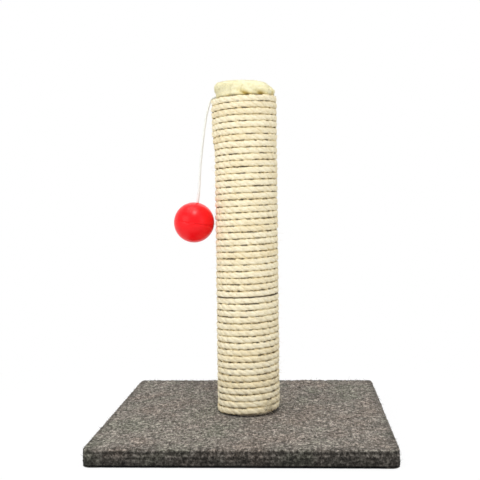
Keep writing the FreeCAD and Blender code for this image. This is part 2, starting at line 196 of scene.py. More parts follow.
def braided_tube(name, route, body, replaced):
    """A round braid over an elastic core, along a route in the XZ plane."""
    line, at = even_steps(spline_points(route), BRAID_STEP)
    ahead = unit(np.gradient(line, axis=0))
    side = np.array([0.0, 1.0, 0.0])
    out = np.cross(ahead, side)
    turn = np.linspace(0, 2 * math.pi, BRAID_SIDES, endpoint=False)
    spin = 2 * math.pi * at / BRAID_LAY
    up = np.cos(BRAID_CARRIERS * turn[None, :] + 2 * spin[:, None])
    down = np.cos(BRAID_CARRIERS * turn[None, :] - 2 * spin[:, None])
    relief = np.maximum(up, down)
    uneven = wander(at, BRAID_WAVES, 5)[:, None]
    thick = 0.5 * STRING_D * (0.965 + 0.055 * relief + uneven)
    verts = tube_verts(line, thick, turn, side[None, :], out)
    faces = ring_faces(len(at), BRAID_SIDES)
    faces.append(tuple(range(BRAID_SIDES))[::-1])
    faces.append(tuple(range(len(verts) - BRAID_SIDES, len(verts))))
    piece = new_piece(name, verts, faces, body, replaced)
    set_numbers(piece, "Relief", relief.ravel())
    return piece, line


string_tail, tail_line = braided_tube("string_tail_cord", TAIL_ROUTE, "stand", ["string_tail"])

hang_string, hang_line = braided_tube("hang_string_cord", HANG_ROUTE, None, ["hang_string"])

# ---------------------------------------------------------------- knot inside the ball
BALL_AT = np.array([-0.0589, 0.0, 0.227179])
BALL_R = 0.0225
BALL_TILT = math.radians(10)


def tilt(points):
    """Turns points from the ball's own upright frame to its leaning one, and puts them in place."""
    points = np.asarray(points, dtype=float)
    x = points[:, 0] * math.cos(BALL_TILT) + points[:, 2] * math.sin(BALL_TILT)
    z = -points[:, 0] * math.sin(BALL_TILT) + points[:, 2] * math.cos(BALL_TILT)
    return np.stack([x, points[:, 1], z], axis=1) + BALL_AT


def tube_loop(name, line, radius, sides, body, replaced):
    """A round tube along a closed line."""
    ahead = unit(np.roll(line, -1, axis=0) - np.roll(line, 1, axis=0))
    out = unit(np.cross(ahead, np.array([0.31, 0.22, 0.93])))
    across = np.cross(ahead, out)
    turn = np.linspace(0, 2 * math.pi, sides, endpoint=False)
    thick = radius * (1 + 0.05 * np.cos(4 * turn[None, :] + 0.55 * np.arange(len(line))[:, None]))
    verts = tube_verts(line, thick, turn, out, across)
    piece = new_piece(name, verts, ring_faces(len(line), sides, True), body, replaced)
    set_numbers(piece, "Relief", np.repeat(np.cos(0.9 * np.arange(len(line))), sides))
    return piece


KNOT_SCALE = 0.00062
KNOT_HEIGHT = 0.0172
KNOT_THREAD_R = 0.00115
t = np.linspace(0, 2 * math.pi, 140, endpoint=False)
trefoil = np.stack([
    np.sin(t) + 2 * np.sin(2 * t),
    np.cos(t) - 2 * np.cos(2 * t),
    -1.4 * np.sin(3 * t),
], axis=1)
knot_line = tilt(KNOT_SCALE * trefoil + np.array([0, 0, KNOT_HEIGHT]))
knot = tube_loop("end_knot_turns", knot_line, KNOT_THREAD_R, 12, "knot", ["end_knot"])
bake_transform(hang_string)


# ---------------------------------------------------------------- turned shapes
def revolve(profile, segments, place, closed=False):
    """Turns a line of (radius, height) points round the upright axis. A radius of 0 becomes one vertex."""
    verts, rows, faces = [], [], []
    turn = np.linspace(0, 2 * math.pi, segments, endpoint=False)
    for radius, height in profile:
        if radius == 0:
            rows.append([len(verts)] * segments)
            verts.append((0, 0, height))
            continue
        rows.append(list(range(len(verts), len(verts) + segments)))
        verts.extend((radius * math.cos(a), radius * math.sin(a), height) for a in turn)
    if closed:
        rows.append(rows[0])
    for low, high in zip(rows, rows[1:]):
        for j in range(segments):
            k = (j + 1) % segments
            corners = [low[j], low[k], high[k], high[j]]
            faces.append(tuple(dict.fromkeys(corners)))
    return place(np.array(verts)), faces


def arc(radius, start, stop, count):
    """Points (radius, height) on a circle about the origin, by angle from the upper pole, in degrees."""
    angles = [math.radians(start + (stop - start) * i / (count - 1)) for i in range(count)]
    return [(radius * math.sin(a), radius * math.cos(a)) for a in angles]


# ---------------------------------------------------------------- ball: two shells with a seam
SHELL_IN = 0.0210
LIP_R = 0.02168
LIP_TOP = 0.0017
HOLE_R = 0.0020
BALL_SIDES = 128
# the rounded edge at the seam: how far inside the ball's surface, and how far from the seam
SEAM_EDGE = ((0.00042, 0.00004), (0.0002, 0.00010), (0.00006, 0.00026))
upper_profile = (
    [(LIP_R, LIP_TOP), (LIP_R, 0.0001), (LIP_R + 0.0002, 0.00004)]
    + [(BALL_R - inside, away) for inside, away in SEAM_EDGE]
    + arc(BALL_R, 88.6, 7.0, 46)
    + [(HOLE_R + 0.00035, 0.02234), (HOLE_R + 0.0001, 0.02222), (HOLE_R, 0.0220)]
    + [(HOLE_R, 0.0213), (HOLE_R + 0.0003, 0.0210)]
    + arc(SHELL_IN, 8.0, 85.0, 30)
    + [(SHELL_IN, LIP_TOP)]
)
lower_profile = (
    [(0, -BALL_R)] + arc(BALL_R, 178.0, 91.4, 50)
    + [(BALL_R - inside, -away) for inside, away in SEAM_EDGE[::-1]]
    + [(LIP_R - 0.00006, -0.00004), (LIP_R - 0.00008, 0.0015), (LIP_R - 0.0002, 0.00162)]
    + [(SHELL_IN + 0.0001, 0.00162), (SHELL_IN, 0.0014)]
    + arc(SHELL_IN, 90.5, 178.0, 36) + [(0, -SHELL_IN)]
)


def ball_half(name, profile, closed, node):
    """One half of the ball, as a shell turned about the ball's leaning axis."""
    verts, faces = revolve(profile, BALL_SIDES, tilt, closed)
    return new_piece(name, verts, flipped(faces), "ball", [node])


ball_upper = ball_half("ball_upper_shell", upper_profile, True, "ball_upper")
ball_lower = ball_half("ball_lower_shell", lower_profile, False, "ball_lower")

# the short turn of string that the hinge bends
BEND_R = 0.00154
bend_profile = [(0, BEND_R)] + arc(BEND_R, 7.0, 173.0, 20) + [(0, -BEND_R)]
bend_verts, bend_faces = revolve(bend_profile, 28, lambda p: p + np.array(STRING_PIVOT))
string_bend = new_piece("string_bend_turn", bend_verts, flipped(bend_faces), "string_turn",
                        ["string_bend"])
set_numbers(string_bend, "Relief", np.sin(np.arange(len(bend_verts)) * 0.9))


# ---------------------------------------------------------------- rope: three laid strands, wound on
ROPE_R = 0.0312
ROPE_FIRST_Z = 0.0208
ROPE_PITCH = 0.00704
ROPE_START = 0.15
ROPE_LAY = 0.0252
STRAND_R = 0.00250
STRAND_OFF = 0.00106
SQUARENESS = 3.4
PRESS = 1.09
ROPE_SIDES = 27
STEPS_A_TURN = 126
# the turns that lie over the string's tail bulge on that side
BULGE = 0.0032
BULGE_TURNS = 5
BULGE_FADE_TURNS = 3
BULGE_DEGREES = 17.0
SIDE_TURN = 0.25
TOP_CROSSING = 48.25
LAST_TURN = 49
TURN_CLEAR = 0.00002
LOW_JOIN = 18
HIGH_JOIN = 33
UNDER_JOIN = LOW_JOIN - 0.5
OVER_JOIN = LOW_JOIN + 0.5
JOIN_LIFT = 0.00024
# pairs of wavelength and height, in metres
HEIGHT_WAVES = [(0.31, 0.00016), (0.137, 0.00012), (0.071, 0.00009), (0.19, 0.00010)]
RADIUS_WAVES = [(0.23, 0.00010), (0.093, 0.00008), (0.052, 0.00005)]
MEETING_WAVES = [(0.0084, 0.00024), (0.0133, 0.00020)]
TWIST_WAVES = [(0.17, 0.35), (0.061, 0.16)]
TINT_WAVES = [(0.9, 0.25), (0.27, 0.2), (0.11, 0.12)]
STRAND_SWELL = [(0.047, 0.028), (0.019, 0.026), (0.0083, 0.032)]
STRAND_NOISE = 0.017
FACE_FLATNESS = 0.05
# where the painted shade of the line between turns starts and how fast it darkens, as shares of half the
# pitch
LINE_START = 0.76
LINE_WIDTH = 0.15
FRAY_ANGLE = -49
FRAY_HEIGHT = 0.0266
JOIN_SPREAD = 0.55
OPEN_HALF = 0.00022
OPEN_REACH = 0.36
CARPET_AT_FOOT = 0.0173
TURN_LENGTH = math.hypot(2 * math.pi * ROPE_R, ROPE_PITCH)


def rope_line(turns):
    """The middle of the rope for each place, given in turns, a little uneven as hands wind it."""
    angle = math.radians(90) + 2 * math.pi * turns
    at = turns * TURN_LENGTH
    height = ROPE_FIRST_Z + (turns - ROPE_START) * ROPE_PITCH
    height = height + wander(at, HEIGHT_WAVES, 3)
    # the turns on either side of the lower join stand apart at the front
    height = height - JOIN_LIFT * np.exp(-((turns - UNDER_JOIN) / JOIN_SPREAD) ** 2)
    height = height + JOIN_LIFT * np.exp(-((turns - OVER_JOIN) / JOIN_SPREAD) ** 2)
    radius = ROPE_R + wander(at, RADIUS_WAVES, 4)
    below = TOP_CROSSING - turns
    share = np.clip(1 - (below - BULGE_TURNS) / BULGE_FADE_TURNS, 0, 1)
    apart = (turns - SIDE_TURN) - np.round(turns - SIDE_TURN)
    radius = radius + BULGE * share * np.exp(-((apart * 360) / BULGE_DEGREES) ** 2)
    return np.stack([radius * np.cos(angle), radius * np.sin(angle), height], axis=1)


def meeting_height(turns):
    """The height at which each place on the rope meets the turn above it."""
    middle = 0.5 * (rope_line(turns)[:, 2] + rope_line(turns + 1)[:, 2])
    return middle + wander(turns * TURN_LENGTH, MEETING_WAVES, 6)


def rope_piece(name, start, stop, node, seed):
    """One length of rope, as a swept and twisted three-lobed tube."""
    count = int((stop - start) * STEPS_A_TURN) + 1
    turns = np.linspace(start, stop, count)
    line = rope_line(turns)
    ahead = unit(np.gradient(line, axis=0))
    out = unit(line * np.array([1, 1, 0]))
    out = unit(out - ahead * np.sum(out * ahead, axis=1)[:, None])
    down = np.cross(ahead, out)
    at = np.concatenate([[0], np.cumsum(np.linalg.norm(np.diff(line, axis=0), axis=1))])
    spin = 2 * math.pi * (at / ROPE_LAY) + wander(at, TWIST_WAVES, seed)
    theta = np.linspace(0, 2 * math.pi, ROPE_SIDES, endpoint=False)
    third = 2 * math.pi / 3
    strand = np.round(theta / third).astype(int) % 3
    off = theta - np.round(theta / third) * third
    swell = np.stack([1 + wander(at, STRAND_SWELL, seed + k) for k in range(3)], axis=1)
    fat = swell[:, strand]
    reach = STRAND_OFF * np.cos(off) + np.sqrt(STRAND_R**2 - (STRAND_OFF * np.sin(off)) ** 2)
    dice = np.random.default_rng(seed)
    reach = reach[None, :] * fat * (1 + STRAND_NOISE * dice.standard_normal((count, ROPE_SIDES)))
    psi = theta[None, :] + spin[:, None]
    flat = 1 - FACE_FLATNESS * np.clip(-np.cos(psi), 0, 1)
    square = (np.abs(np.cos(psi)) ** SQUARENESS + np.abs(np.sin(psi)) ** SQUARENESS) ** (-1 / SQUARENESS)
    pressed = reach * flat * square
    local_out, local_down = pressed * np.cos(psi), PRESS * pressed * np.sin(psi)
    verts = line[:, None, :] + local_out[:, :, None] * out[:, None, :]
    verts = verts + local_down[:, :, None] * down[:, None, :]
    # where turns touch, they press each other flat
    open_above = np.exp(-((turns - UNDER_JOIN) / OPEN_REACH) ** 4)
    open_below = np.exp(-((turns - OVER_JOIN) / OPEN_REACH) ** 4)
    top = meeting_height(turns) - TURN_CLEAR - OPEN_HALF * open_above
    low = meeting_height(turns - 1) + TURN_CLEAR + OPEN_HALF * open_below
    top[turns > LAST_TURN - 1] = 1.0
    low[turns < ROPE_START + 1] = CARPET_AT_FOOT
    verts[:, :, 2] = np.clip(verts[:, :, 2], low[:, None], top[:, None])
    verts = verts.reshape(-1, 3)
    faces = ring_faces(count, ROPE_SIDES)
    tips = np.stack([line[0] - ahead[0] * 0.0006, line[-1] + ahead[-1] * 0.0006])
    verts = np.concatenate([verts, tips])
    first_tip, last_tip, end = len(verts) - 2, len(verts) - 1, (count - 1) * ROPE_SIDES
    for j in range(ROPE_SIDES):
        k = (j + 1) % ROPE_SIDES
        faces.append((first_tip, k, j))
        faces.append((last_tip, end + j, end + k))
    piece = new_piece(name, verts, flipped(faces), "stand", [node])

    def keep(number, grid, at_tips=0.5):
        set_numbers(piece, number, np.concatenate([grid.ravel(), [at_tips, at_tips]]))

    lay = np.stack([np.repeat(at, ROPE_SIDES), local_out.ravel(), local_down.ravel()], axis=1)
    set_numbers(piece, "Lay", np.concatenate([lay, [[0, 0, 0], [at[-1], 0, 0]]]))
    groove = reach.min()
    lobe = np.clip((reach - groove) / (STRAND_OFF + STRAND_R - groove), 0, 1)
    keep("Lobe", lobe)
    between = np.clip((np.abs(local_down) / (0.5 * ROPE_PITCH) - LINE_START) / LINE_WIDTH, 0, 1)
    # the lowest turns are frayed at the front right, with painted shadow in the gaps between the loose fibres
    around = np.degrees(np.arctan2(line[:, 1], line[:, 0]))[:, None]
    level = line[:, 2][:, None] + local_down
    frayed = 1.3 * np.exp(-(((around - FRAY_ANGLE) / 9.0) ** 2) - ((level - FRAY_HEIGHT) / 0.0034) ** 2)
    between = np.maximum(between, np.minimum(frayed, 1) * (dice.random((count, ROPE_SIDES)) > 0.32))
    keep("Between", between)
    keep("Open", np.where(local_down < 0, open_above[:, None], open_below[:, None]), 0)
    keep("Tint", np.repeat(0.5 + wander(at, TINT_WAVES, seed + 9), ROPE_SIDES))
    return piece


JOIN_HALF = 0.001 / TURN_LENGTH
rope_lower = rope_piece("rope_lower_length", ROPE_START, LOW_JOIN - JOIN_HALF, "rope_lower", 31)
rope_middle = rope_piece("rope_middle_length", LOW_JOIN + JOIN_HALF, HIGH_JOIN - JOIN_HALF, "rope_middle", 51)
rope_upper = rope_piece("rope_upper_length", HIGH_JOIN + JOIN_HALF, LAST_TURN, "rope_upper", 71)


# ---------------------------------------------------------------- loose fibres
FIBRE_TAPER = 0.75
THIRDS = (0, 2.0944, 4.18879)
FLOOR_CLEAR = 0.0001


def fibres(name, roots, heads, bends, lengths, widths, body, segments=2, tint=None):
    """Many short tapering hairs as one piece.

    Each starts at its root, sets off along its head and turns to its bend.
    """
    count = len(roots)
    heads = unit(heads)
    across = unit(np.cross(heads, np.array([0.37, 0.61, 0.70])))
    other = np.cross(heads, across)
    rings = []
    for k in range(segments + 1):
        share = k / segments
        middle = roots + lengths[:, None] * (share * heads + share * share * bends)
        width = 0.5 * widths * (1 - FIBRE_TAPER * share)
        for a in THIRDS:
            rings.append(middle + width[:, None] * (math.cos(a) * across + math.sin(a) * other))
    verts = np.stack(rings, axis=1).reshape(-1, 3)
    verts[:, 2] = np.maximum(verts[:, 2], FLOOR_CLEAR)
    per = 3 * (segments + 1)
    pattern = []
    for k in range(segments):
        for j in range(3):
            i = (j + 1) % 3
            pattern.append((3 * k + j, 3 * k + i, 3 * k + 3 + i, 3 * k + 3 + j))
    ends = [(2, 1, 0), (3 * segments, 3 * segments + 1, 3 * segments + 2)]
    start = (np.arange(count) * per)[:, None, None]
    quads = (start + np.array(pattern)[None]).reshape(-1, 4).tolist()
    caps = (start + np.array(ends)[None]).reshape(-1, 3).tolist()
    piece = new_piece(name, verts, quads + caps, body)
    if tint is None:
        tint = draw.random(count)
    set_numbers(piece, "Tint", np.repeat(tint, per))
    return piece


HAIRS = 3600
HAIR_ROOT_R = 0.00315
UP = np.array([0, 0, 1])
hair_turns = draw.uniform(ROPE_START + 0.02, 48.98, HAIRS)
hair_line = rope_line(hair_turns)
hair_ahead = unit(rope_line(hair_turns + 0.002) - hair_line)
hair_out = unit(hair_line * np.array([1, 1, 0]))
hair_down = np.cross(hair_ahead, hair_out)
psi = draw.normal(0, 0.75, HAIRS)
hair_normal = np.cos(psi)[:, None] * hair_out + np.sin(psi)[:, None] * hair_down
hair_root = hair_line + HAIR_ROOT_R * hair_normal
way = np.where(draw.random(HAIRS) < 0.5, -1.0, 1.0)[:, None]
hair_head = way * hair_ahead + 0.35 * draw.standard_normal((HAIRS, 3))
hair_head = hair_head + hair_normal * draw.uniform(0.10, 0.60, HAIRS)[:, None]
hair_bend = hair_normal * draw.normal(-0.10, 0.22, HAIRS)[:, None] + 0.25 * draw.standard_normal((HAIRS, 3))
hair_length = draw.uniform(0.0025, 0.0080, HAIRS)
hair_width = draw.uniform(0.00010, 0.00024, HAIRS)

# a frayed tuft near the foot, at the front right
WISPS = 90
WISP_ROOT_R = 0.0342
wisp_angle = np.radians(draw.normal(FRAY_ANGLE, 5.0, WISPS))
wisp_out = np.stack([np.cos(wisp_angle), np.sin(wisp_angle), np.zeros(WISPS)], axis=1)
wisp_side = np.stack([-np.sin(wisp_angle), np.cos(wisp_angle), np.zeros(WISPS)], axis=1)
wisp_root = WISP_ROOT_R * wisp_out + UP * draw.uniform(0.0240, 0.0292, WISPS)[:, None]
wisp_head = 0.55 * wisp_out + draw.normal(0, 0.8, WISPS)[:, None] * wisp_side
wisp_head = wisp_head + UP * draw.normal(0.25, 0.5, WISPS)[:, None]
wisp_bend = draw.normal(0, 0.9, WISPS)[:, None] * wisp_side - 0.25 * wisp_out
wisp_bend = wisp_bend + UP * draw.normal(-0.5, 0.4, WISPS)[:, None]
rope_hairs = fibres(
    "rope_loose_hairs",
    np.concatenate([hair_root, wisp_root]),
    np.concatenate([hair_head, wisp_head]),
    np.concatenate([hair_bend, wisp_bend]),
    np.concatenate([hair_length, draw.uniform(0.0030, 0.0065, WISPS)]),
    np.concatenate([hair_width, draw.uniform(0.00025, 0.00055, WISPS)]),
    "stand", segments=3,
    tint=np.concatenate([draw.random(HAIRS), draw.uniform(0.7, 1.0, WISPS)]),
)


# ---------------------------------------------------------------- carpet cover
SIDE = 0.150
TOP_Z = 0.0174
TOP_ROUND = 0.0026
LOW_ROUND = 0.0012
CORNER = 0.0080
HEM_Z = 0.0010
HEM_IN = 0.028
CELLS = 226
SIDE_ROWS = 8
HEM_ROWS = 14
RIM_START = 0.1405
RIM_WIDTH = 0.0055
# the pile is pressed flat within this radius, under the post
PRESSED_R = 0.0366
PRESSED_FADE = 0.002
PRESSED_BY = 0.0004
PILE_SPREAD = 0.0012


def sine_cosine(degrees):
    return math.sin(math.radians(degrees)), math.cos(math.radians(degrees))


def rough(x, y, z):
    """How far the pile stands above its middle surface, for one point."""
    coarse = noise.noise(Vector((x * 80, y * 80, z * 80)))
    fine = noise.noise(Vector((x * 310 + 7, y * 310, z * 310)))
    tiny = noise.noise(Vector((x * 760, y * 760 + 3, z * 760)))
    return 0.00020 * coarse + 0.00062 * fine + 0.00050 * tiny


def cover():
    """The carpet as one open sheet: the top, the rounded edges, the sides and the hem turned under."""
    flat_half = SIDE - TOP_ROUND
    inner_corner = CORNER - TOP_ROUND
    straight = flat_half - inner_corner
    verts, normals, rim_share = [], [], []
    grid = np.linspace(-flat_half, flat_half, CELLS + 1)
    for x in grid:
        for y in grid:
            u, v = max(abs(x) - straight, 0), max(abs(y) - straight, 0)
            px, py = x, y
            if u > 0 and v > 0:
                shrink = max(u, v) / math.hypot(u, v)
                px = math.copysign(straight + u * shrink, x)
                py = math.copysign(straight + v * shrink, y)
            verts.append((px, py, TOP_Z))
            normals.append((0, 0, 1))
            rim_share.append(min(max((max(abs(px), abs(py)) - RIM_START) / RIM_WIDTH, 0), 1))
    faces = []
    row = CELLS + 1
    for i in range(CELLS):
        for j in range(CELLS):
            a = i * row + j
            faces.append((a, a + row, a + row + 1, a + 1))
    edge = [(i, 0) for i in range(CELLS)] + [(CELLS, j) for j in range(CELLS)]
    edge += [(CELLS - i, CELLS) for i in range(CELLS)] + [(0, CELLS - j) for j in range(CELLS)]
    loop = [i * row + j for i, j in edge]
    rim = [verts[i] for i in loop]
    # each row: how far out, how high, and which way is out of the cloth, sideways and up
    rows = []
    for degrees in range(18, 91, 18):
        sine, cosine = sine_cosine(degrees)
        rows.append((TOP_ROUND * sine, TOP_Z - TOP_ROUND * (1 - cosine), sine, cosine))
    for k in range(1, SIDE_ROWS + 1):
        fall = (TOP_Z - TOP_ROUND - HEM_Z - LOW_ROUND) / SIDE_ROWS
        rows.append((TOP_ROUND, TOP_Z - TOP_ROUND - k * fall, 1, 0))
    for degrees in range(30, 91, 30):
        sine, cosine = sine_cosine(degrees)
        rows.append((TOP_ROUND - LOW_ROUND * (1 - cosine), HEM_Z + LOW_ROUND * (1 - sine), cosine, -sine))
    for k in range(1, HEM_ROWS + 1):
        rows.append((TOP_ROUND - LOW_ROUND - k * (HEM_IN - LOW_ROUND) / HEM_ROWS, HEM_Z, 0, -1))
    rows.append((TOP_ROUND - HEM_IN - 0.0005, HEM_Z + 0.0008, -1, 0))
    rows.append((TOP_ROUND - HEM_IN - 0.0003, HEM_Z + 0.0020, -1, 0))
    before = loop
    for out, z, level, rise in rows:
        half = flat_half + out
        corner = max(inner_corner + out, 0.0004)
        now = []
        for x, y, _ in rim:
            u, v = abs(x) - straight, abs(y) - straight
            sx, sy = math.copysign(1, x), math.copysign(1, y)
            scale = (half - corner) / straight
            if u > 1e-9 and v > 1e-9:
                size = math.hypot(u, v)
                dx, dy = sx * u / size, sy * v / size
                point = (sx * (half - corner) + dx * corner, sy * (half - corner) + dy * corner)
            elif u > v:
                dx, dy = sx, 0
                point = (sx * half, y * scale)
            else:
                dx, dy = 0, sy
                point = (x * scale, sy * half)
            now.append(len(verts))
            verts.append((*point, z))
            normals.append((dx * level, dy * level, rise))
            rim_share.append(1 - level * level if rise > 0 else 0)
        count = len(loop)
        for j in range(count):
            k = (j + 1) % count
            faces.append((before[j], now[j], now[k], before[k]))
        before = now
    verts, normals = np.array(verts), np.array(normals, dtype=float)
    lift = np.array([rough(*v) for v in verts]) + 0.00008 * draw.standard_normal(len(verts))
    lift *= np.where(normals[:, 2] < -0.5, 0.4, 1.0)
    pile = lift.copy()
    foot = np.hypot(verts[:, 0], verts[:, 1])
    pressed = np.clip((PRESSED_R - foot) / PRESSED_FADE, 0, 1) * (normals[:, 2] > 0.9)
    lift = lift * (1 - pressed) - PRESSED_BY * pressed
    return verts + normals * lift[:, None], faces, np.array(rim_share), pile


carpet_verts, carpet_faces, carpet_rim, carpet_pile = cover()
carpet = new_piece("base_carpet_cover", carpet_verts, carpet_faces, "stand", ["base_carpet"])
set_numbers(carpet, "Rim", carpet_rim)
set_numbers(carpet, "Pile", np.clip(0.5 + carpet_pile / PILE_SPREAD, 0, 1))

# loose fibres standing out of the carpet
FUZZ = 11500
corners = np.array(carpet_faces)[:, :4]
centre = carpet_verts[corners].mean(axis=1)
span_a = carpet_verts[corners[:, 2]] - carpet_verts[corners[:, 0]]
span_b = carpet_verts[corners[:, 3]] - carpet_verts[corners[:, 1]]
face_normal = np.cross(span_a, span_b)
face_area = np.linalg.norm(face_normal, axis=1)
face_normal = face_normal / face_area[:, None]
from_post = np.hypot(centre[:, 0], centre[:, 1])
outside = (centre[:, 2] > 0.0016) & (from_post > 0.0350) & (face_normal[:, 2] > -0.3)
weight = face_area * outside * np.where(face_normal[:, 2] < 0.5, 1.7, 1.0)
picked = draw.choice(len(corners), FUZZ, p=weight / weight.sum())
jitter = draw.uniform(-0.4, 0.4, (FUZZ, 2))
fuzz_root = centre[picked] + jitter[:, :1] * span_a[picked] * 0.5 + jitter[:, 1:] * span_b[picked] * 0.5
fuzz_normal = face_normal[picked]
fuzz_head = draw.standard_normal((FUZZ, 3)) + fuzz_normal * draw.uniform(0.3, 1.5, FUZZ)[:, None]
fuzz_bend = 0.5 * draw.standard_normal((FUZZ, 3)) - fuzz_normal * draw.uniform(0.2, 0.8, FUZZ)[:, None]
fuzz_root = fuzz_root - fuzz_normal * 0.0002
carpet_fuzz = fibres("base_carpet_fuzz", fuzz_root, fuzz_head, fuzz_bend, draw.uniform(0.0012, 0.0032, FUZZ),
                     draw.uniform(0.00020, 0.00046, FUZZ), "stand")


# ---------------------------------------------------------------- folded corners of the carpet, on the floor
TUCK_EDGE = 0.015
TUCK_DEEP = 0.024
TUCK_ACROSS = 34
TUCK_INWARD = 22
TUCK_MIDDLE_Z = 0.00062
TUCK_HALF_T = 0.00056


def tuck(sign_x, sign_y, index):
    """One folded corner: a flat soft lump under the hem, with its outer edge in line with the cover."""
    top, bottom = [], []
    for i in range(TUCK_ACROSS + 1):
        share = i / TUCK_ACROSS
        bow = 2 * share - 1
        reach = SIDE + 0.0001
        # the outer edge runs along one side, round the corner and back along the other
        if share < 0.4:
            x, y = reach - CORNER - (TUCK_EDGE - CORNER) * (1 - share / 0.4), reach
        elif share > 0.6:
            x, y = reach, reach - CORNER - (TUCK_EDGE - CORNER) * ((share - 0.6) / 0.4)
        else:
            a = math.radians(90 - 90 * (share - 0.4) / 0.2)
            x, y = reach - CORNER + CORNER * math.cos(a), reach - CORNER + CORNER * math.sin(a)
        inner = reach - TUCK_DEEP * 0.62
        drawn_in = inner - 0.0035 * (1 - abs(bow))
        ix, iy = drawn_in - 0.003 * max(-bow, 0), drawn_in - 0.003 * max(bow, 0)
        for j in range(TUCK_INWARD + 1):
            into = j / TUCK_INWARD
            px, py = x + (ix - x) * into, y + (iy - y) * into
            rim = min(into / 0.08, (1 - into) / 0.10, share / 0.06, (1 - share) / 0.06, 1)
            puff = math.sqrt(max(1 - (1 - rim) ** 2, 0))
            fold = 0.00016 * math.sin(9 * bow + 5 * into) + 0.35 * rough(px * sign_x, py * sign_y, index)
            wx, wy = px * sign_x, py * sign_y
            top.append((wx, wy, TUCK_MIDDLE_Z + (TUCK_HALF_T + fold) * puff))
            bottom.append((wx, wy, TUCK_MIDDLE_Z - (TUCK_HALF_T - 0.2 * abs(fold)) * puff))
    return top, bottom


tuck_verts, tuck_faces = [], []
for index, (sx, sy) in enumerate(((1, 1), (-1, 1), (-1, -1), (1, -1))):
    top, bottom = tuck(sx, sy, index)
    start = len(tuck_verts)
    tuck_verts += top
    lower = start + len(top)
    tuck_verts += bottom
    row = TUCK_INWARD + 1
    flip = sx * sy < 0
    # the two faces share their outline
    merged = {}
    for i in range(TUCK_ACROSS + 1):
        for j in range(row):
            if i in (0, TUCK_ACROSS) or j in (0, TUCK_INWARD):
                merged[lower + i * row + j] = start + i * row + j
    for i in range(TUCK_ACROSS):
        for j in range(TUCK_INWARD):
            quad = (i * row + j, i * row + j + 1, (i + 1) * row + j + 1, (i + 1) * row + j)
            upper = tuple(start + q for q in quad)
            under = tuple(merged.get(lower + q, lower + q) for q in quad)
            tuck_faces.append(upper[::-1] if flip else upper)
            tuck_faces.append(under if flip else under[::-1])
used = sorted({i for f in tuck_faces for i in f})
renumber = {old: new for new, old in enumerate(used)}
tuck_faces = flipped([tuple(renumber[i] for i in face) for face in tuck_faces])
tucks = new_piece("corner_tuck_folds", np.array([tuck_verts[i] for i in used]), tuck_faces,
                  "stand", ["corner_tucks"])
set_numbers(tucks, "Rim", np.zeros(len(used)))
set_numbers(tucks, "Pile", np.full(len(used), 0.5))


# ---------------------------------------------------------------- plush cap and the wadding in it
CAP_PROFILE = ((0.0274, 0.3530), (0.0274, 0.3600), (0.0274, 0.3648), (0.0292, 0.3660), (0.0318, 0.3668),
               (0.0322, 0.3698), (0.0318, 0.3730), (0.0306, 0.3766), (0.0286, 0.3795), (0.0258, 0.3808),
               (0.0218, 0.3814), (0.0150, 0.3818), (0.0080, 0.3820), (0.0, 0.3820))
CAP_FOOT = 0.3655
CAP_SIDES = 190
CAP_LUMPS = 0.0004
WADDING_INSET = 0.0030
WADDING_SIDES = 90
SEAT_ON_ROPE = 0.00362
SEAT_ON_STRING = 0.0019
CAP_LEAN = 0.0042
CAP_MIDDLE = np.array([0, 0, 0.3640])
FRONT_TURN_Z = 0.3612
# creases: angle and width in degrees, depth, height and half height in metres, slant in degrees a metre
CREASES = ((-86.0, 8.5, 0.0023, 0.3676, 0.0034, -2400), (-53.0, 9.0, 0.0023, 0.3673, 0.0031, -1700),
           (-152.0, 9.0, 0.0007, 0.3668, 0.0035, 900), (-118.0, 7.0, 0.0005, 0.3662, 0.0025, 0),
           (-14.0, 7.0, 0.0014, 0.3680, 0.0035, -1200), (22.0, 8.0, 0.0018, 0.3690, 0.0035, 800),
           (61.0, 7.0, 0.0015, 0.3690, 0.0035, -900), (104.0, 8.0, 0.0019, 0.3665, 0.0035, 700),
           (146.0, 7.0, 0.0016, 0.3665, 0.0035, -900))
TOP_ROPE = rope_line(np.linspace(47.2, 49, 420))


def smooth(value):
    """A soft step from 0 to 1."""
    value = np.clip(value, 0, 1)
    return value * value * (3 - 2 * value)


def dense(profile, count):
    """The profile again as a smooth line with more points."""
    line = spline_points([(r, 0, z) for r, z in profile])
    points, _ = even_steps(line, np.sum(np.linalg.norm(np.diff(line, axis=0), axis=1)) / count)
    points[-1, 0] = 0
    return [(p[0], p[2]) for p in points]


def pushed_out(verts, line, reach):
    """Moves the points that are nearer to a line than the reach straight away from it."""
    for i in range(0, len(verts), 2000):
        some = verts[i:i + 2000]
        apart = some[:, None, :] - line[None, :, :]
        gap = np.linalg.norm(apart, axis=2)
        best = gap.argmin(axis=1)
        rows = np.arange(len(some))
        near = gap[rows, best]
        move = np.maximum(reach - near, 0) / np.maximum(near, 1e-6)
        verts[i:i + 2000] = some + apart[rows, best] * move[:, None]
    return verts


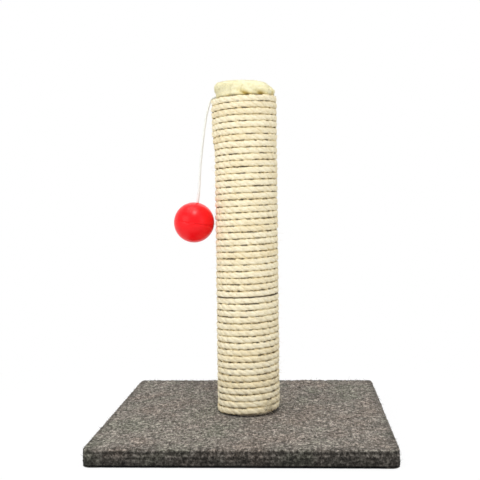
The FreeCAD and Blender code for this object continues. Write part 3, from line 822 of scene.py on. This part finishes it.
def dome(name, profile, inset, segments, node):
    """A soft dome that sits on the top turn of rope, gathered in creases round its foot."""
    rows_in = [(max(r - inset, 0), z - (inset if z > 0.374 else 0)) for r, z in profile]
    verts, faces = revolve(rows_in, segments, lambda p: p)
    angle = np.degrees(np.arctan2(verts[:, 1], verts[:, 0]))
    turned = np.mod(angle - 90, 360) / 360
    turn_z = ROPE_FIRST_Z + (48 + turned - ROPE_START - smooth((turned - 0.93) / 0.07)) * ROPE_PITCH
    height = verts[:, 2].copy()
    sag = (turn_z - FRONT_TURN_Z - 0.0010) * (1 - smooth((height - 0.3700) / 0.009))
    sag = sag * smooth((height - 0.362) / 0.003)
    deep = np.zeros(len(verts))
    for at, width, depth, level, half, slant in CREASES:
        off = (angle - at - slant * (height - level) + 180) % 360 - 180
        deep += depth * np.exp(-((off / width) ** 2) - ((height - level) / half) ** 2)
    deep *= height > CAP_FOOT - 0.0015
    spots = [Vector(v) for v in verts]
    lump = np.array([1.1 * noise.noise(v * 110) + 0.6 * noise.noise(v * 260) for v in spots]) * CAP_LUMPS
    lump *= np.where(height < CAP_FOOT, 0.15, 1.0)
    outward = verts - CAP_MIDDLE
    outward[:, 2] = np.maximum(outward[:, 2], 0) * 1.4
    outward /= np.maximum(np.linalg.norm(outward, axis=1), 1e-6)[:, None]
    verts = verts + outward * (lump - deep)[:, None]
    verts[:, 2] += sag
    verts[:, 0] -= CAP_LEAN * smooth((height - 0.3710) / 0.0075)
    verts = pushed_out(verts, TOP_ROPE, SEAT_ON_ROPE + inset)
    verts = pushed_out(verts, tail_line, SEAT_ON_STRING + inset)
    piece = new_piece(name, verts, faces, "stand", [node])
    # painted shade in the creases and along the foot of the cap, next to the rope
    foot_shade = 0.06 * (1 - smooth((height - 0.3668) / 0.0022))
    deep = np.clip(deep / 0.0022 + foot_shade, 0, 1)
    set_numbers(piece, "Deep", deep)
    return piece, verts, faces, deep


cap_line = dense(CAP_PROFILE, 62)
plush_cap, cap_verts, cap_faces, cap_deep = dome("plush_cap_skin", cap_line, 0.0, CAP_SIDES, "plush_cap")
WADDING_Z = 0.3660
wadding_line = [(0, WADDING_Z)] + [(r, z) for r, z in cap_line if z > WADDING_Z]
wadding = dome("top_wadding_fill", wadding_line, WADDING_INSET, WADDING_SIDES, "top_wadding")[0]

TUFTS = 13500
cap_tri = np.array([f[:3] for f in cap_faces])
cap_centre = cap_verts[cap_tri].mean(axis=1)
cap_a, cap_b, cap_c = (cap_verts[cap_tri[:, k]] for k in range(3))
cap_cross = np.cross(cap_b - cap_a, cap_c - cap_a)
cap_area = np.linalg.norm(cap_cross, axis=1)
cap_normal = cap_cross / np.maximum(cap_area, 1e-12)[:, None]
flip = np.sum(cap_normal * (cap_centre - CAP_MIDDLE), axis=1) < 0
cap_normal[flip] *= -1
weight = cap_area * (np.hypot(cap_centre[:, 0], cap_centre[:, 1]) > 0.0290)
weight += cap_area * (cap_centre[:, 2] > 0.370)
picked = draw.choice(len(cap_tri), TUFTS, p=weight / weight.sum())
tuft_normal = cap_normal[picked]
spread = draw.random((TUFTS, 2))
corner_a, corner_b, corner_c = (corners[picked] for corners in (cap_a, cap_b, cap_c))
tuft_root = corner_a + spread[:, :1] * (corner_b - corner_a) + spread[:, 1:] * (corner_c - corner_a) * 0.6
shifts = [Vector((k * 19.0, 0, 0)) for k in range(3)]
clump = np.array([[noise.noise(Vector(p) * 330 + shift) for shift in shifts] for p in tuft_root])
tuft_head = tuft_normal + 0.55 * clump + 0.30 * draw.standard_normal((TUFTS, 3))
tuft_bend = 0.6 * clump + 0.25 * draw.standard_normal((TUFTS, 3)) - 0.20 * tuft_normal
tuft_deep = cap_deep[cap_tri[picked, 0]]
tuft_length = draw.uniform(0.0009, 0.0017, TUFTS) * (1 - 0.45 * tuft_deep)
tuft_width = draw.uniform(0.00018, 0.00034, TUFTS)
cap_tufts = fibres("plush_cap_pile", tuft_root - 0.0003 * tuft_normal, tuft_head, tuft_bend,
                   tuft_length, tuft_width, "stand")
set_numbers(cap_tufts, "Deep", np.repeat(tuft_deep, 9))


# ---------------------------------------------------------------- materials
WHITE = (1, 1, 1)


def new_material(name):
    material = bpy.data.materials.new(name)
    material.use_nodes = True
    tree = material.node_tree
    return material, tree, tree.nodes["Principled BSDF"]


def feed(tree, socket, value):
    """Gives a socket what another node puts out, or a value of its own."""
    if isinstance(value, bpy.types.NodeSocket):
        tree.links.new(value, socket)
    else:
        socket.default_value = value


def node(tree, kind, settings=None, **sockets):
    """A new node with its settings, and with its sockets fed by name."""
    made = tree.nodes.new(kind)
    for key, value in (settings or {}).items():
        setattr(made, key, value)
    for key, value in sockets.items():
        feed(tree, made.inputs[key.replace("_", " ")], value)
    return made


def number_of(tree, name):
    """The number that each vertex keeps under this name."""
    return node(tree, "ShaderNodeAttribute", {"attribute_name": name}).outputs["Fac"]


def worked_out(tree, operation, *values):
    """One sum: each value is a number or comes from another node."""
    made = node(tree, "ShaderNodeMath", {"operation": operation})
    for socket, value in zip(made.inputs, values):
        feed(tree, socket, value)
    return made.outputs[0]


def scaled(tree, vector, scale):
    return node(tree, "ShaderNodeMapping", None, Vector=vector, Scale=scale).outputs["Vector"]


def noise_of(tree, vector, scale, detail=2.0, roughness=0.5):
    made = node(tree, "ShaderNodeTexNoise", None, Vector=vector, Scale=scale,
                Detail=detail, Roughness=roughness)
    return made.outputs["Fac"]


def ramp(tree, value, stops):
    """A colour for each value: stops are pairs of a place from 0 to 1 and a colour."""
    made = node(tree, "ShaderNodeValToRGB", None, Fac=value)
    band = made.color_ramp
    while len(band.elements) < len(stops):
        band.elements.new(0.5)
    for element, (place, colour) in zip(band.elements, stops):
        element.position = place
        element.color = (*colour, 1)
    return made.outputs["Color"]


def greys(tree, value, stops):
    """As ramp, with one number for each grey."""
    return ramp(tree, value, [(place, (grey, grey, grey)) for place, grey in stops])


def mixed(tree, kind, share, a, b):
    made = node(tree, "ShaderNodeMix", {"data_type": "RGBA", "blend_type": kind})
    for index, value in ((0, share), (6, a), (7, b)):
        feed(tree, made.inputs[index], (*value, 1) if isinstance(value, tuple) else value)
    return made.outputs[2]


def times(tree, share, a, b):
    return mixed(tree, "MULTIPLY", share, a, b)


def dressed(tree, shader, colour, roughness, specular=0.5, sheen=0.0):
    """Gives the shader its colour and roughness, and its constant gloss and sheen."""
    sockets = ("Base Color", "Roughness", "Specular IOR Level", "Sheen Weight")
    for name, value in zip(sockets, (colour, roughness, specular, sheen)):
        feed(tree, shader.inputs[name], value)


def bumped(tree, shader, height, strength, distance):
    bump = node(tree, "ShaderNodeBump", None, Height=height, Strength=strength, Distance=distance)
    tree.links.new(bump.outputs["Normal"], shader.inputs["Normal"])


def mapped(tree, value, low, high, to_low=0.0, to_high=1.0, kind="LINEAR"):
    """The value, with low to high made into to_low to to_high."""
    made = node(tree, "ShaderNodeMapRange", {"interpolation_type": kind}, Value=value,
                From_Min=low, From_Max=high, To_Min=to_low, To_Max=to_high)
    return made.outputs["Result"]


def spread_to(tree, value, low, high):
    """The value from 0 to 1, spread from low to high."""
    return mapped(tree, value, 0.0, 1.0, low, high)


def here(tree):
    return node(tree, "ShaderNodeTexCoord").outputs["Object"]


# sisal: streaks of fibre along the rope, with painted shade in the grooves between strands
sisal, tree, shader = new_material("sisal_rope")
lay = node(tree, "ShaderNodeAttribute", {"attribute_name": "Lay"}).outputs["Vector"]
streaks = noise_of(tree, scaled(tree, lay, (150, 2300, 2300)), 1.0, 3.0, 0.6)
patches = noise_of(tree, scaled(tree, lay, (45, 260, 260)), 1.0, 2.0)
FIBRE_STOPS = (
    (0.22, (0.65, 0.53, 0.30)), (0.42, (0.85, 0.76, 0.54)),
    (0.60, (0.93, 0.87, 0.68)), (0.85, (0.97, 0.93, 0.78)),
)
GROOVE_SHADE_STOPS = ((0.0, (0.78, 0.70, 0.54)), (0.25, (0.93, 0.90, 0.83)), (0.55, WHITE))
LINE_SHADE_STOPS = ((0.445, (0.98, 0.95, 0.86)), (0.525, (0.74, 0.64, 0.41)), (0.585, (0.10, 0.064, 0.020)))
JOIN_SHADE_STOPS = ((0.1, WHITE), (0.8, (0.20, 0.14, 0.07)))
cream = ramp(tree, streaks, FIBRE_STOPS)
cream = times(tree, 0.7, cream, ramp(tree, patches, ((0.3, (0.92, 0.88, 0.80)), (0.6, WHITE))))
tint = ramp(tree, number_of(tree, "Tint"), ((0.0, (0.93, 0.88, 0.78)), (0.6, WHITE)))
cream = times(tree, 0.6, cream, tint)
cream = times(tree, 1.0, cream, ramp(tree, number_of(tree, "Lobe"), GROOVE_SHADE_STOPS))
# painted shadow in the line where turns meet: dark in short stretches, and light elsewhere, where fibres
# close it
shadow_dashes = noise_of(tree, scaled(tree, here(tree), (190, 190, 260)), 1.0, 1.0, 0.5)
# the painted shadow is darker still where the turns stand apart at the lower join
open_shade = ramp(tree, number_of(tree, "Open"), JOIN_SHADE_STOPS)
line_shade = times(tree, 1.0, ramp(tree, shadow_dashes, LINE_SHADE_STOPS), open_shade)
cream = times(tree, number_of(tree, "Between"), cream, line_shade)
dressed(tree, shader, cream, spread_to(tree, patches, 0.72, 0.95), specular=0.12)
bumped(tree, shader, streaks, 0.8, 0.00035)

sisal_hair, tree, shader = new_material("sisal_hair")
tint = number_of(tree, "Tint")
colour = ramp(tree, tint, ((0.0, (0.62, 0.50, 0.29)), (0.5, (0.85, 0.75, 0.52)), (1.0, (0.95, 0.89, 0.70))))
mottle = ramp(tree, noise_of(tree, here(tree), 400), ((0.3, (0.7, 0.62, 0.5)), (0.7, WHITE)))
dressed(tree, shader, times(tree, 0.3, colour, mottle), spread_to(tree, tint, 0.6, 0.85), specular=0.15)

# carpet: needled felt of grey, brown and greenish fibres
CARPET_STOPS = (
    (0.36, (0.022, 0.020, 0.017)), (0.45, (0.098, 0.087, 0.073)),
    (0.52, (0.222, 0.200, 0.172)), (0.60, (0.535, 0.484, 0.422)),
)
HUE_STOPS = ((0.34, (0.90, 0.97, 0.91)), (0.5, WHITE), (0.66, (1.0, 0.94, 0.92)))
WORN_STOPS = ((0.36, (0.89, 0.89, 0.895)), (0.62, (1.06, 1.06, 1.06)))
# how light the edge is painted from the floor, 0, to the top, 1: painted shade, darkest next to the floor
# under the hem and in bands along the folds that run along it
EDGE_SHADE_STOPS = (
    (0.0, 0.012), (0.120, 0.015), (0.16, 0.179), (0.20, 0.258), (0.28, 0.179), (0.35, 0.213), (0.425, 0.280),
    (0.50, 0.207), (0.58, 0.269), (0.665, 0.482), (0.73, 0.392), (0.82, 0.224), (0.89, 0.370), (0.945, 0.800),
    (0.985, 1.0),
)
# painted shade for the corner folds, which lie under the hem
FOLD_SHADE_STOPS = ((0.0, 0.28), (1.0, 0.32))
EDGE_WAVER = 0.0022


def carpet_colour(tree):
    spot = here(tree)
    grain = noise_of(tree, spot, 310, 3.0, 0.7)
    strands_a = noise_of(tree, scaled(tree, spot, (0.5, 2.0, 1.5)), 270, 3.0, 0.65)
    strands_b = noise_of(tree, scaled(tree, spot, (2.0, 0.5, 1.5)), 270, 3.0, 0.65)
    weave = mixed(tree, "MIX", noise_of(tree, spot, 95, 1.0), strands_a, strands_b)
    fleck = mixed(tree, "MIX", 0.5, grain, weave)
    colour = ramp(tree, fleck, CARPET_STOPS)
    colour = times(tree, 1.0, colour, ramp(tree, noise_of(tree, spot, 24, 3.0, 0.6), HUE_STOPS))
    worn = ramp(tree, noise_of(tree, scaled(tree, spot, (0.8, 1.3, 1.0)), 75, 2.0), WORN_STOPS)
    return times(tree, 1.0, colour, worn), fleck


def edge_shade(tree, stops):
    """Paints shade down the carpet's edges, in streaks that waver along them."""
    spot = here(tree)
    height = node(tree, "ShaderNodeSeparateXYZ", None, Vector=spot).outputs["Z"]
    waver = noise_of(tree, scaled(tree, spot, (55, 55, 20)), 1.0, 2.0)
    moved = worked_out(tree, "MULTIPLY_ADD", waver, EDGE_WAVER, height)
    wavering = mapped(tree, moved, EDGE_WAVER / 2, TOP_Z + EDGE_WAVER / 2)
    exact = mapped(tree, height, 0.0, TOP_Z)
    # the lowest and highest shades follow the edge exactly
    ends = greys(tree, exact, ((0.12, 1), (0.20, 0), (0.84, 0), (0.92, 1)))
    where = node(tree, "ShaderNodeMix", {"data_type": "FLOAT"})
    for index, source in ((0, ends), (2, wavering), (3, exact)):
        tree.links.new(source, where.inputs[index])
    return greys(tree, where.outputs[0], stops)


def carpet_material(name, stops):
    material, tree, shader = new_material(name)
    colour, fleck = carpet_colour(tree)
    # painted shade in the low places of the pile
    shade = greys(tree, number_of(tree, "Pile"), ((0.0, 0.50), (0.5, 0.95), (1.0, 1.0)))
    colour = times(tree, 0.8, colour, shade)
    # the top is darker along its rim and over its rounded edge
    colour = times(tree, 1.0, colour, greys(tree, number_of(tree, "Rim"), ((0.0, 1), (1.0, 0.74))))
    colour = times(tree, 1.0, colour, edge_shade(tree, stops))
    dressed(tree, shader, colour, spread_to(tree, fleck, 0.86, 1.0), specular=0.10, sheen=0.05)
    bumped(tree, shader, fleck, 1.0, 0.0012)
    return material


carpet_mat = carpet_material("carpet_felt", EDGE_SHADE_STOPS)
fold_mat = carpet_material("carpet_fold", FOLD_SHADE_STOPS)

fuzz_mat, tree, shader = new_material("carpet_fibre")
FUZZ_STOPS = (
    (0.0, (0.024, 0.022, 0.019)), (0.35, (0.102, 0.093, 0.081)),
    (0.65, (0.250, 0.226, 0.200)), (1.0, (0.565, 0.522, 0.473)),
)
# the loose fibres take the same painted shade down the edges as the carpet
colour = times(tree, 1.0, ramp(tree, number_of(tree, "Tint"), FUZZ_STOPS), edge_shade(tree, EDGE_SHADE_STOPS))
dressed(tree, shader, colour, spread_to(tree, noise_of(tree, here(tree), 300), 0.8, 1.0), specular=0.15)

# plush: cream pile, with painted ochre shade deep in the creases between the lobes
plush_mat, tree, shader = new_material("plush_pile")
curl = noise_of(tree, here(tree), 420, 3.0, 0.6)
colour = ramp(tree, curl, ((0.3, (0.86, 0.80, 0.52)), (0.55, (0.89, 0.84, 0.58)), (0.75, (0.91, 0.87, 0.64))))
DEEP_SHADE_STOPS = ((0.0, WHITE), (0.35, (0.96, 0.91, 0.74)), (0.9, (0.62, 0.48, 0.18)))
colour = times(tree, 1.0, colour, ramp(tree, number_of(tree, "Deep"), DEEP_SHADE_STOPS))
dressed(tree, shader, colour, spread_to(tree, curl, 0.85, 1.0), specular=0.12, sheen=0.2)
bumped(tree, shader, curl, 0.8, 0.0008)

wadding_mat, tree, shader = new_material("wadding_fluff")
curl = noise_of(tree, here(tree), 260, 5.0, 0.7)
colour = ramp(tree, curl, ((0.3, (0.70, 0.70, 0.68)), (0.7, (0.92, 0.92, 0.90))))
dressed(tree, shader, colour, spread_to(tree, curl, 0.85, 1.0))
bumped(tree, shader, curl, 0.8, 0.001)

# string: off-white braid, with painted shade in the low places of its relief
string_mat, tree, shader = new_material("string_braid")
BRAID_SHADE_STOPS = ((0.0, (0.72, 0.735, 0.715)), (0.7, (0.82, 0.835, 0.815)), (1.0, (0.875, 0.89, 0.87)))
colour = ramp(tree, spread_to(tree, number_of(tree, "Relief"), 0.5, 1.0), BRAID_SHADE_STOPS)
thread = noise_of(tree, here(tree), 1800, 2.0)
colour = times(tree, 0.5, colour, ramp(tree, thread, ((0.3, (0.82, 0.82, 0.80)), (0.6, WHITE))))
dressed(tree, shader, colour, spread_to(tree, thread, 0.7, 0.9), specular=0.2, sheen=0.4)
bumped(tree, shader, thread, 0.4, 0.0002)

# ball: satin red plastic with fine scuffs
red_mat, tree, shader = new_material("red_plastic")
cloud = noise_of(tree, here(tree), 60, 3.0)
grain = noise_of(tree, here(tree), 1400, 2.0)
scuff = noise_of(tree, scaled(tree, here(tree), (1.0, 1.0, 5.0)), 260, 4.0, 0.7)
colour = ramp(tree, cloud, ((0.3, (0.89, 0.002, 0.006)), (0.7, (0.92, 0.004, 0.009))))
colour = mixed(tree, "MIX", greys(tree, scuff, ((0.66, 0), (0.80, 0.10))), colour, (0.95, 0.20, 0.17))
dressed(tree, shader, colour, spread_to(tree, scuff, 0.26, 0.36), specular=0.24)
bumped(tree, shader, grain, 0.08, 0.0002)


def hidden_material(name, low, high, scale, stretch, rough, metal, depth):
    """A grainy material for a piece inside the object."""
    material, tree, shader = new_material(name)
    grain = noise_of(tree, scaled(tree, here(tree), stretch), scale, 5.0, 0.65)
    dressed(tree, shader, ramp(tree, grain, ((0.3, low), (0.7, high))), spread_to(tree, grain, *rough))
    shader.inputs["Metallic"].default_value = metal
    bumped(tree, shader, grain, 0.5, depth)
    return material


board_mat = hidden_material("chip_board", (0.36, 0.25, 0.14), (0.62, 0.48, 0.31),
                            420, (1, 1, 2.5), (0.7, 0.95), 0.0, 0.0004)
wood_mat = hidden_material("turned_wood", (0.50, 0.34, 0.18), (0.72, 0.55, 0.35),
                           120, (1, 1, 0.15), (0.55, 0.8), 0.0, 0.0003)
card_mat = hidden_material("grey_card", (0.38, 0.30, 0.21), (0.55, 0.46, 0.34),
                           160, (1, 1, 4), (0.8, 0.95), 0.0, 0.0003)
steel_mat = hidden_material("zinc_steel", (0.50, 0.51, 0.53), (0.74, 0.75, 0.76),
                            700, WHITE, (0.25, 0.5), 1.0, 0.0001)

NODE_MATERIALS = {
    "base_board": board_mat, "bottom_plug": wood_mat, "top_plug": wood_mat, "post_tube": card_mat,
    "hem_staples": steel_mat, "base_bolt": steel_mat, "bolt_washer": steel_mat, "tee_nut": steel_mat,
    "plug_pins": steel_mat, "rope_staples": steel_mat, "plush_staples": steel_mat, "string_staple": steel_mat,
}
PIECE_MATERIALS = (
    (string_tail, string_mat), (hang_string, string_mat), (string_bend, string_mat), (knot, string_mat),
    (ball_upper, red_mat), (ball_lower, red_mat),
    (rope_lower, sisal), (rope_middle, sisal), (rope_upper, sisal), (rope_hairs, sisal_hair),
    (carpet, carpet_mat), (carpet_fuzz, fuzz_mat), (tucks, fold_mat),
    (plush_cap, plush_mat), (cap_tufts, plush_mat), (wadding, wadding_mat),
)
for name, material in NODE_MATERIALS.items():
    nodes[name].data.materials.clear()
    nodes[name].data.materials.append(material)
for piece, material in PIECE_MATERIALS:
    piece.data.materials.append(material)


# ---------------------------------------------------------------- floor, world and lights
FLOOR_HALF = 30.0
floor = bpy.data.objects.new("floor", bpy.data.meshes.new("floor"))
floor_signs = ((-1, -1), (1, -1), (1, 1), (-1, 1))
floor.data.from_pydata([(x * FLOOR_HALF, y * FLOOR_HALF, 0) for x, y in floor_signs], [], [(0, 1, 2, 3)])
scene.collection.objects.link(floor)


def seen(tree):
    """1 for a ray that shows the background: from the camera, in a gloss or through glass."""
    rays = node(tree, "ShaderNodeLightPath")
    straight = worked_out(tree, "MAXIMUM", rays.outputs["Is Camera Ray"], rays.outputs["Is Glossy Ray"])
    return worked_out(tree, "MAXIMUM", straight, rays.outputs["Is Transmission Ray"])


def shader_mix(tree, share, first, second, output):
    """Sends a mix of two shaders to the output."""
    blend = node(tree, "ShaderNodeMixShader")
    for socket, source in zip(blend.inputs, (share, first.outputs[0], second.outputs[0])):
        tree.links.new(source, socket)
    tree.links.new(blend.outputs[0], output.inputs["Surface"])


floor_mat, tree, shader = new_material("white_floor")
output = tree.nodes["Material Output"]
shader.inputs["Roughness"].default_value = 0.9
shader.inputs["Specular IOR Level"].default_value = 0.0
lit = node(tree, "ShaderNodeEmission", None, Color=(*WHITE, 1), Strength=1.0)
parts = node(tree, "ShaderNodeSeparateXYZ", None, Vector=here(tree))
# how far each place lies beyond the rounded square of the base
beyond = node(tree, "ShaderNodeCombineXYZ")
for axis in ("X", "Y"):
    past = worked_out(tree, "SUBTRACT", worked_out(tree, "ABSOLUTE", parts.outputs[axis]), SIDE - CORNER)
    tree.links.new(worked_out(tree, "MAXIMUM", past, 0.0), beyond.inputs[axis])
apart = node(tree, "ShaderNodeVectorMath", {"operation": "LENGTH"})
tree.links.new(beyond.outputs[0], apart.inputs[0])
apart = apart.outputs["Value"]
NEAR_GLOW = 0.90
under = mapped(tree, apart, CORNER - 0.0012, CORNER + 0.0001, 0.0, NEAR_GLOW, "SMOOTHSTEP")
far = mapped(tree, apart, CORNER + 0.005, CORNER + 0.25, 0.0, 1.0 - NEAR_GLOW, "SMOOTHSTEP")
# the floor is painted dark right under the edge of the base: a painted shadow
under_edge_shadow = mapped(tree, apart, CORNER - 0.0020, CORNER - 0.0006, 0.0, 1.0, "SMOOTHSTEP")
tree.links.new(greys(tree, under_edge_shadow, ((0.0, 0.008), (1.0, 0.90))), shader.inputs["Base Color"])
white = worked_out(tree, "MULTIPLY", worked_out(tree, "ADD", under, far), seen(tree))
shader_mix(tree, white, shader, lit, output)
floor.data.materials.append(floor_mat)

world = bpy.data.worlds.new("studio")
scene.world = world
world.use_nodes = True
tree = world.node_tree
tree.nodes.clear()
AMBIENT = 0.51
ambient = node(tree, "ShaderNodeBackground", None, Color=(*WHITE, 1), Strength=AMBIENT)
backdrop = node(tree, "ShaderNodeBackground", None, Color=(*WHITE, 1), Strength=1.0)
shader_mix(tree, seen(tree), ambient, backdrop, node(tree, "ShaderNodeOutputWorld"))


def softbox(name, at, target, size, power):
    """A square area light at one point, aimed at another."""
    data = bpy.data.lights.new(name, "AREA")
    data.shape = "RECTANGLE"
    data.size, data.size_y = size
    data.energy = power
    lamp = bpy.data.objects.new(name, data)
    lamp.location = at
    lamp.rotation_euler = (Vector(target) - Vector(at)).to_track_quat("-Z", "Y").to_euler()
    scene.collection.objects.link(lamp)


softbox("key", (0.27, -1.62, 2.95), (0, 0, 0.18), (0.31, 0.62), 35)
softbox("overhead", (-0.10, -0.30, 1.70), (0, 0, 0.20), (1.4, 1.0), 11)
softbox("fill_left", (-1.2, -1.1, 0.55), (0, 0, 0.12), (0.9, 1.2), 6.8)
softbox("fill_right", (1.3, -0.8, 0.5), (0, 0, 0.12), (0.9, 1.2), 2.8)
softbox("back", (0.2, 1.3, 1.2), (0, 0, 0.2), (1.6, 1.4), 4)
